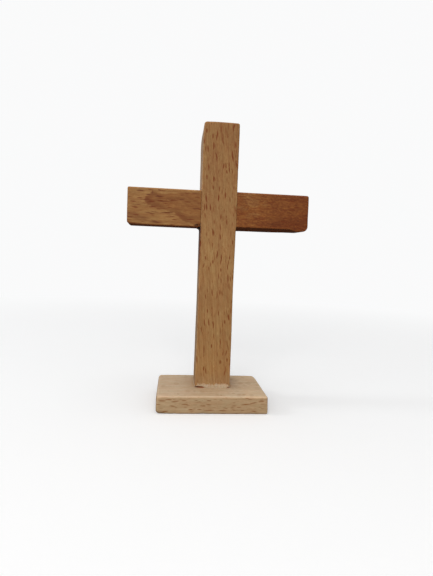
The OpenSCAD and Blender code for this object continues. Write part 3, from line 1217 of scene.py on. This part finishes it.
# dark marks on the front: x, z at one end, x, z at the other, half width, strength
BAR_MARKS = [
    (-32.0, 107.6, -23.4, 108.2, 0.34, 1.0), (-35.2, 116.3, -29.0, 116.6, 0.36, 0.95),
    (-45.4, 119.1, -39.8, 119.3, 0.38, 0.8), (-39.6, 117.1, -37.0, 117.3, 0.32, 0.9),
    (-14.6, 110.6, -8.8, 110.9, 0.34, 0.85), (-33.4, 113.6, -25.0, 114.1, 0.4, 0.5),
    (-21.6, 115.3, -18.2, 115.5, 0.42, 0.7), (-44.9, 111.5, -42.0, 111.6, 0.34, 0.6),
    (-37.4, 106.8, -34.3, 107.0, 0.34, 0.7), (-15.4, 119.3, -9.8, 119.2, 0.4, 0.55),
    (-36.6, 102.6, -30.4, 101.9, 0.5, 0.75), (-33.4, 120.1, -31.0, 119.8, 0.5, 0.8),
    (-36.4, 117.4, -35.6, 119.8, 0.5, 0.6), (-34.0, 117.2, -32.4, 116.6, 0.5, 0.7),
    (-40.2, 107.5, -35.4, 107.1, 0.30, 0.60), (-36.8, 108.2, -32.1, 107.7, 0.30, 0.55),
    (-47.8, 111.5, -43.1, 111.4, 0.30, 0.50), (-32.1, 113.9, -29.2, 114.0, 0.30, 0.60),
    (-39.5, 117.2, -37.3, 117.2, 0.30, 0.65), (-14.6, 110.6, -9.6, 111.1, 0.32, 0.60),
    (-36.9, 103.6, -32.0, 102.4, 0.36, 0.50), (-49.0, 107.4, -47.9, 106.3, 0.60, 0.50),
    (-14.8, 119.1, -11.0, 119.1, 0.30, 0.60),
]


def paint_bar(mat, wood, color, rays):
    """The red heart of the stem runs in from the right; its dark edge makes a blunt arch and a
    slanting line on the left arm."""
    x, y, z = mat.split(wood.point)
    ragged_noise = mat.noise(mat.xyz(x * 0.22, y * 0.5, z * 1.5), detail=3.0, rough=0.6)
    soft_noise = mat.noise(mat.xyz(x * 0.16, y * 0.2, z * 0.3))
    ragged, soft = ragged_noise - 0.5, soft_noise - 0.5
    depth = mat.attribute("heart") + ragged * 2.8 + soft * 0.8
    inside = depth.smooth(-0.6, 0.7)
    dark_edge = depth.smooth(-0.6, 0.3) * depth.smooth(4.2, 1.6) * mat.attribute("rim")
    inner = mat.mix(soft_noise.smooth(0.35, 0.65), srgb(158, 103, 52), srgb(144, 90, 43))
    color = mat.mix(inside * 0.85, color, inner)
    color = mat.mix(dark_edge * 0.72, color, srgb(130, 74, 34))
    # stains near the end, along the lower edge
    patch = (mat.attribute("stain") + ragged * 1.1).smooth(0.35, 0.75)
    color = mat.mix(patch * 0.6, color, srgb(142, 92, 50))
    # the arm on the right is all heart, lighter by the upright and along the top
    far = x.linear(POST.right - 2, BAR.right, 0.0, 0.62) + soft * 0.8 + mat.attribute("shade")
    deep = mat.mix(far.linear(0.0, 1.15), srgb(147, 86, 36), srgb(125, 63, 22))
    tan = (far + ragged * 0.9).smooth(0.02, -0.3)
    deep = mat.mix(tan * 0.7, deep, srgb(158, 106, 56))
    on_right = (x + ragged * 6.0).smooth(POST.right - 12, POST.right - 5)
    dash = mat.noise(mat.xyz(x * 0.4, y * 0.8, z * 1.2), rough=0.6)
    short = mat.noise(mat.xyz(x * 0.75, y * 1.2, z * 1.4), rough=0.6)
    light = dash.linear(0.3, 0.7, 0.84, 1.16) * short.linear(0.3, 0.7, 0.76, 1.24)
    deep = mat.tint(deep, mat.xyz(light**0.9, light**1.35, light**1.55))
    color = mat.mix(on_right, color, deep)
    front = BAR.front
    ink = front_marks(mat, wood.point, front, BAR_MARKS)
    color = mat.mix(ink * wood.fibre.smooth(0.3, 0.6, 0.6, 1.0), color, srgb(108, 50, 19))
    chip = spindle(
        mat, wood.point, (-12.9, front, 101.2), (-8.6, front, 102.3), width=1.0, depth=1.4
    )
    color = mat.mix(chip * wood.mottle.smooth(0.35, 0.55, 0.35, 0.9), color, srgb(62, 32, 18))
    speck = spindle(
        mat, wood.point, (46.2, front, 106.6), (46.8, front, 106.6), width=0.36, depth=1.0
    )
    color = mat.mix(speck * 0.85, color, srgb(60, 34, 20))
    # painted shade: the lower side is painted a saturated red-brown, the colour of its shade
    _, _, normal_z = mat.normal()
    color = mat.mix(normal_z.smooth(-0.15, -0.6) * 0.85, color, srgb(174, 104, 60))
    return color, rays * on_right.linear(0.0, 1.0, 1.0, 0.8)


def bar_material():
    return beech(
        "beech_crossbar", paint_bar, along="x", slope=0.02,
        ground=srgb(178, 130, 75), dark=srgb(160, 108, 58), fleck=srgb(119, 46, 10),
        rings=dict(pith=(114.0, 40.0), lean=(0.0, 0.16), spacing=3.6), seed=7,
        fleck_strength=0.88, streaks=1.15, fleck_wide=0.78,
    )


# ---------------------------------------------------------------- the base plate's material

# brown marks on the front: x, z at one end, x, z at the other, half width, strength
BASE_MARKS = [
    (-29.4, 7.1, -24.6, 7.0, 0.4, 0.75), (-22.0, 6.6, -17.6, 7.0, 0.36, 0.7),
    (15.0, 5.0, 20.6, 5.7, 0.36, 0.9), (19.6, 5.6, 25.0, 6.8, 0.36, 0.8),
    (24.4, 6.8, 28.6, 7.3, 0.4, 0.85), (25.6, 5.6, 28.8, 5.4, 0.3, 0.5),
    (-6.0, 1.6, 1.6, 2.2, 0.4, 0.6), (3.0, 2.2, 8.4, 1.6, 0.34, 0.55),
    (-28.8, 1.0, -24.8, 0.8, 0.5, 0.6), (9.6, 3.7, 11.8, 3.8, 0.3, 0.7),
    (13.0, 3.8, 15.6, 3.7, 0.3, 0.7), (10.6, 6.2, 12.6, 6.3, 0.3, 0.55),
    (-20.4, 3.4, -18.4, 3.5, 0.3, 0.6), (-14.6, 4.9, -12.6, 5.0, 0.28, 0.6),
]
# short brown marks along the front of the top: from x, to x, y, strength
TOP_MARKS = [
    (13.0, 16.0, -19.1, 0.55), (16.4, 19.0, -17.8, 0.45), (10.7, 13.0, -16.4, 0.4),
    (-19.6, -17.5, -18.3, 0.55), (3.8, 5.6, -19.9, 0.55), (-10.3, -8.6, -13.0, 0.45),
]


def paint_base(mat, wood, color, rays):
    x, y, z = mat.split(wood.point)
    mottle = wood.mottle - 0.5
    # distance from the foot of the upright
    half_x, half_y = (POST.right - POST.left) / 2, (POST.back - POST.front) / 2
    beside = mat.max(abs(x - (POST.left + POST.right) / 2) - half_x, 0.0)
    before = mat.max(abs(y - (POST.front + POST.back) / 2) - half_y, 0.0)
    near = mat.math("SQRT", beside * beside + before * before)
    # painted shade: the top is painted darker round the foot of the upright
    near = (near + mottle * 8.0 + (wood.streak - 0.5) * 6.0).smooth(11.0, 1.0)
    near = near * z.smooth(BASE.top - 2, BASE.top - 0.5)
    color = mat.tint(color, (0.88, 0.84, 0.79), near * 0.6)
    _, _, normal_z = mat.normal()
    top = normal_z.smooth(0.2, 0.85)
    # painted shade: darker still in the corner close round the sides and back of the foot
    rim = (beside + before).smooth(2.4, 0.4) * y.smooth(POST.front + 0.5, POST.front + 2.5) * top
    color = mat.tint(color, (0.9, 0.78, 0.64), rim * wood.mottle.smooth(0.3, 0.6, 0.6, 1.0))
    # painted sheen: the top is painted paler and cooler than the sides
    color = mat.tint(color, mat.mix(top, (1.0, 0.955, 0.89), (1.02, 1.06, 1.15)))
    # the top is paler still towards both ends
    right_end = (x + mottle * 10.0).smooth(13.0, 20.0)
    color = mat.tint(color, (1.1, 1.09, 1.06), top * right_end)
    rays = rays * top.linear(0.0, 1.0, 1.05, 0.55)
    left_end = (x + mottle * 16.0).smooth(-6.0, -24.0)
    color = mat.tint(color, (1.06, 1.06, 1.07), top * left_end)

    def top_mark(x0, y0, x1, y1, width, depth):
        ends = (x0, y0, BASE.top), (x1, y1, BASE.top)
        return spindle(mat, wood.point, *ends, width, depth, facing=(0, 0, 1))

    ink = front_marks(mat, wood.point, BASE.front, BASE_MARKS)
    for x0, x1, mark_y, strength in TOP_MARKS:
        mark = top_mark(x0, mark_y, x1, mark_y, width=0.9, depth=2.5)
        ink = mat.max(ink, mark * strength)
    color = mat.mix(ink * wood.mottle.smooth(0.3, 0.62, 0.55, 1.0), color, srgb(150, 83, 18))
    # painted shade: dark red-brown on the top in the gap under the foot, at both ends of the
    # front
    gap_y = POST.front - 0.2
    gap_left = top_mark(
        POST.left - 0.8, gap_y + 1.3, POST.left + 7.0, gap_y + 0.4, width=1.7, depth=2.0
    )
    gap_right = top_mark(
        POST.right - 2.6, gap_y - 0.2, POST.right + 0.2, gap_y, width=0.6, depth=2.0
    )
    gap = mat.max(gap_left, gap_right * 0.8)
    return mat.mix(gap * 0.94, color, srgb(170, 68, 14)), rays


def base_material():
    return beech(
        "beech_base", paint_base, along="x", slope=0.0,
        ground=srgb(207, 178, 140), dark=srgb(190, 156, 117), fleck=srgb(147, 83, 16),
        rings=dict(pith=(-30.0, 25.0), lean=(0.01, 0.02), spacing=2.8), seed=5,
        fleck_strength=0.8, rough=0.6, spec=0.4, streaks=0.55,
        edge_wear_and_highlight=(1.24, 1.28, 1.38), fleck_wide=0.85, fleck_long=0.8,
    )


# ---------------------------------------------------------------- glue and zinc


def pale_glue_material():
    """Dried glue with sanding dust, browner up the face of the upright."""
    mat = new_material("glue_pale")
    point = mat.place_mm()
    coarse = mat.noise(point, scale=1.1, detail=3.0, rough=0.6)
    fine = mat.noise(point, scale=5.0, detail=3.0, rough=0.7)
    _, _, z = mat.split(point)
    streak = mat.noise(mat.vector("MULTIPLY", point, (3.4, 3.4, 0.55)), detail=3.0, rough=0.6)
    color = mat.mix(coarse.smooth(0.3, 0.7), srgb(191, 166, 136), srgb(171, 144, 112))
    # painted highlight: pale glints along the upper part of the bead
    glue_highlight = (fine + coarse * 0.5).smooth(0.72, 0.9) * z.smooth(BASE.top + 0.5, BASE.top + 1.4)
    color = mat.mix(glue_highlight * 0.75, color, srgb(226, 206, 174))
    up = (z + (streak - 0.5) * 4.4).smooth(BASE.top + 1.3, BASE.top + 2.9, 0.0, 0.9)
    color = mat.mix(up, color, srgb(166, 120, 72))
    bumped = mat.bump(coarse + fine * 0.6, strength=0.6, distance=0.0001)
    return mat.principled(
        color, fine.smooth(0.3, 0.7, 0.45, 0.7), bumped,
        Specular_IOR_Level=0.3, Subsurface_Weight=0.1, Subsurface_Scale=0.0005,
    )


def dark_glue_material():
    """Dark squeezed-out glue, lighter in the line at the front of the joint."""
    mat = new_material("glue_dark")
    point = mat.place_mm()
    cloud = mat.noise(point, scale=1.8, detail=3.0, rough=0.6)
    color = mat.mix(cloud.smooth(0.3, 0.7), srgb(92, 56, 32), srgb(60, 34, 20))
    _, y, z = mat.split(point)
    line = z.smooth(BAR.bottom + 0.1, BAR.bottom + 0.5)
    line = line * y.smooth(POST.front + 3.5, POST.front + 2.5)
    line_color = mat.mix(cloud.smooth(0.3, 0.7), srgb(146, 98, 54), srgb(128, 80, 42))
    color = mat.mix(line, color, line_color)
    bumped = mat.bump(cloud, strength=0.5, distance=0.0001)
    return mat.principled(color, cloud.smooth(0.3, 0.7, 0.3, 0.5), bumped, Specular_IOR_Level=0.5)


def zinc_material():
    """Bright zinc."""
    mat = new_material("zinc")
    point = mat.place_mm()
    coarse = mat.noise(point, scale=0.9, detail=3.0, rough=0.6)
    fine = mat.noise(point, scale=9.0, rough=0.6)
    color = mat.mix(coarse.smooth(0.3, 0.7), srgb(196, 196, 190), srgb(170, 164, 148))
    bumped = mat.bump(fine + coarse, strength=0.25, distance=0.00004)
    return mat.principled(color, fine.smooth(0.3, 0.7, 0.25, 0.42), bumped, Metallic=1.0)


# ---------------------------------------------------------------- the pieces

MATERIALS = {
    "post": post_material(),
    "bar": bar_material(),
    "base": base_material(),
    "glue": pale_glue_material(),
    "dark_glue": dark_glue_material(),
    "zinc": zinc_material(),
}

# builder, material, slot, piece of the frame it replaces
PIECES = [
    (build_base, "base", "beech_base", "base_plate"),
    (build_post, "post", "beech_upright", "upright_post"),
    (build_bar, "bar", "beech_crossbar", "crossbar"),
    (build_screw, "zinc", "zinc_steel", "foot_screw"),
    (build_foot_glue, "glue", "wood_glue_pale", "foot_glue"),
    (build_lap_glue, "dark_glue", "wood_glue_dark", "lap_glue"),
]
for build, material, slot, node in PIECES:
    piece = build()
    piece.data.materials.clear()
    piece.data.materials.append(MATERIALS[material])
    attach(piece, "root")
    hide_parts(node)


# ---------------------------------------------------------------- floor

SEEN_WHITE = (0.955, 0.957, 0.96)


def floor_material():
    """Pale for the camera, fading into the white round it. For light that reaches the cross by
    way of the floor it is darker, so that undersides stay as dark as they are in a room."""
    mat = new_material("floor")
    place = mat.object_place()
    cloud = mat.noise(place, scale=3.0, detail=3.0)
    seen = mat.node("ShaderNodeLightPath", output="Is Camera Ray")
    white = mat.mix(cloud, (0.90, 0.90, 0.90), (0.92, 0.92, 0.92))
    glossy = seen.output("Is Glossy Ray")
    unseen = mat.mix(glossy, (0.14, 0.13, 0.13), (0.03, 0.03, 0.03))
    diffuse = mat.node("ShaderNodeBsdfDiffuse", {"Color": mat.mix(seen, unseen, white)})
    lift = mat.node("ShaderNodeEmission", {"Color": (1.0, 1.0, 1.0), "Strength": seen * 0.16})
    lit = mat.node("ShaderNodeAddShader", {0: diffuse, 1: lift})
    glow = mat.node("ShaderNodeEmission", {"Color": SEEN_WHITE})
    x, y, _ = mat.split(place)
    # the distance from the middle, in metres
    fade = mat.math("SQRT", x * x + y * y).smooth(0.05, 0.7) * seen
    top = mat.node("ShaderNodeMixShader", {0: fade, 1: lit, 2: glow})
    # seen from below it is not there at all, so that the underside can be looked at
    clear = mat.node("ShaderNodeBsdfTransparent")
    passed = mat.math("GREATER_THAN", seen.output("Transparent Depth"), 0.5)
    below = mat.max(mat.node("ShaderNodeNewGeometry", output="Backfacing"), passed)
    return mat.surface(mat.node("ShaderNodeMixShader", {0: below, 1: top, 2: clear}))


def build_floor():
    """A round table top just under the base plate."""
    material = floor_material()
    count = 96
    radii = [100, 250, 500, 1000, 2000, 4000]
    z = -0.03
    points = [(0, 0, z)]
    for radius in radii:
        points += [(radius * math.cos(a), radius * math.sin(a), z) for a in ring_angles(count)]
    faces = []
    for i in range(count):
        after = (i + 1) % count
        faces.append((0, 1 + i, 1 + after))
        for ring in range(len(radii) - 1):
            a = 1 + ring * count
            b = a + count
            faces.append((a + i, b + i, b + after, a + after))
    obj = make_object("floor", points, faces)
    obj.data.materials.append(material)


build_floor()


# ---------------------------------------------------------------- light

MIDDLE = (CAD_LO + CAD_HI) / 2


def add_area(name, azimuth, elevation, distance, size, power, color):
    """A soft box aimed at the cross. Azimuth 0 is in front, 90 is on the left. Angles are in
    degrees, distance and size in metres, power in watts."""
    azimuth, elevation = math.radians(azimuth), math.radians(elevation)
    level = math.cos(elevation)
    away = Vector((-math.sin(azimuth) * level, -math.cos(azimuth) * level, math.sin(elevation)))
    light = bpy.data.lights.new(name, "AREA")
    light.shape = "RECTANGLE"
    light.size, light.size_y = size
    light.energy = power
    light.color = color
    obj = bpy.data.objects.new(name, light)
    obj.location = MIDDLE + away * distance
    obj.rotation_mode = "QUATERNION"
    obj.rotation_quaternion = away.to_track_quat("Z", "Y")
    scene.collection.objects.link(obj)


add_area(
    "front", azimuth=12, elevation=24, distance=1.3, size=(0.9, 0.7), power=7.35,
    color=(1.0, 0.985, 0.97),
)
add_area(
    "ceiling", azimuth=0, elevation=85, distance=1.3, size=(0.8, 0.8), power=3.3,
    color=(1.0, 0.99, 0.98),
)
add_area(
    "window_left", azimuth=93, elevation=29, distance=1.4, size=(0.24, 0.28), power=2.5,
    color=(0.95, 0.98, 1.0),
)


def build_world():
    """White to the camera, a dimmer even light for everything else."""
    world = Shader(bpy.data.worlds.new("studio"), "ShaderNodeOutputWorld")
    seen = world.node("ShaderNodeLightPath", output="Is Camera Ray")
    backdrop = world.node("ShaderNodeBackground", {0: SEEN_WHITE})
    light = world.node("ShaderNodeBackground", {0: (0.98, 0.99, 1.0), 1: 0.48})
    scene.world = world.surface(
        world.node("ShaderNodeMixShader", {0: seen, 1: light, 2: backdrop})
    )


build_world()

scene.view_settings.view_transform = "Standard"
scene.view_settings.look = "None"
scene.view_settings.exposure = 0.0
scene.view_settings.gamma = 1.0


# ---------------------------------------------------------------- camera

# It stands in front of the cross, a little to the left and at about half its height.
CAMERA_PLACE = np.array([-22.6776, -229.0586 + BASE.front, 82.6540])
CAMERA_YAW, CAMERA_PITCH, CAMERA_ROLL = -0.0976019, -0.0636888, -0.0380890  # radians
CAMERA_LENS, CAMERA_SENSOR = 27.3205625, 36.0


def camera_axes():
    """Rows: the camera's right, its view direction and its up."""
    cosine, sine = math.cos(CAMERA_YAW), math.sin(CAMERA_YAW)
    yaw = np.array([[cosine, sine, 0], [-sine, cosine, 0], [0, 0, 1]])
    cosine, sine = math.cos(CAMERA_PITCH), math.sin(CAMERA_PITCH)
    pitch = np.array([[1, 0, 0], [0, cosine, sine], [0, -sine, cosine]])
    cosine, sine = math.cos(CAMERA_ROLL), math.sin(CAMERA_ROLL)
    roll = np.array([[cosine, 0, -sine], [0, 1, 0], [sine, 0, cosine]])
    return roll @ pitch @ yaw


def add_camera():
    data = bpy.data.cameras.new("camera")
    data.sensor_width = CAMERA_SENSOR
    data.sensor_fit = "AUTO"
    data.lens = CAMERA_LENS
    data.clip_start = 0.01
    data.clip_end = 20
    camera = bpy.data.objects.new("camera", data)
    scene.collection.objects.link(camera)
    right, view, up = camera_axes()
    rotation = Matrix(np.stack([right, up, -view], 1).tolist())
    camera.matrix_world = Matrix.Translation(Vector(CAMERA_PLACE * MM)) @ rotation.to_4x4()
    scene.camera = camera


add_camera()
